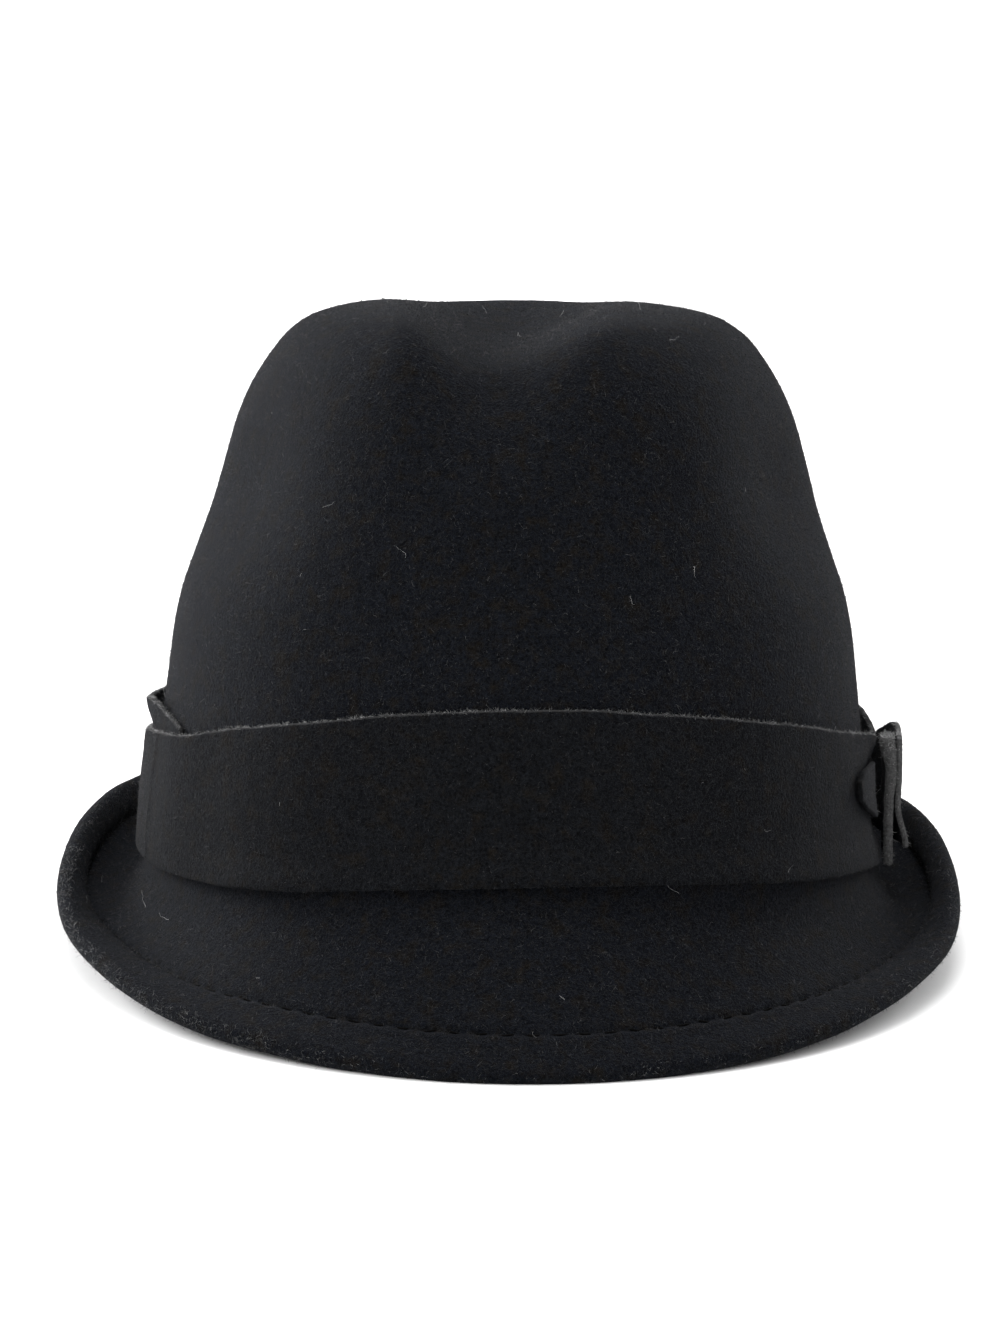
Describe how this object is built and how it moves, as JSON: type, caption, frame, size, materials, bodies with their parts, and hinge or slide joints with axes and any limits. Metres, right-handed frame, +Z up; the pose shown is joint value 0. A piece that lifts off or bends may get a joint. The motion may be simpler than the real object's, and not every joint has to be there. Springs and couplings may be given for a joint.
{
  "type": "felt hat",
  "caption": "Black felt hat with a tapered, dented crown, a short brim snapped down in front and curled up behind, a wide raw-edged felt band and a flat felt bow on one side.",
  "frame": {"origin": "on the floor, under the middle of the hat's bounding box", "axes": "+Z up from the floor, -Y to the front of the hat, +X to the wearer's left, where the bow is"},
  "size_m": [0.213, 0.253, 0.1504],
  "materials": {
    "body_felt": "matte brushed felt with a short soft nap",
    "band_felt": "matte felt with cut, fuzzy edges"
  },
  "bodies": {
    "root": {"felt_body": "body_felt", "band_front": "band_felt", "band_rear": "band_felt", "bow_strap": "band_felt", "tab_inner": "band_felt", "tab_outer": "band_felt"}
  },
  "joints": []
}
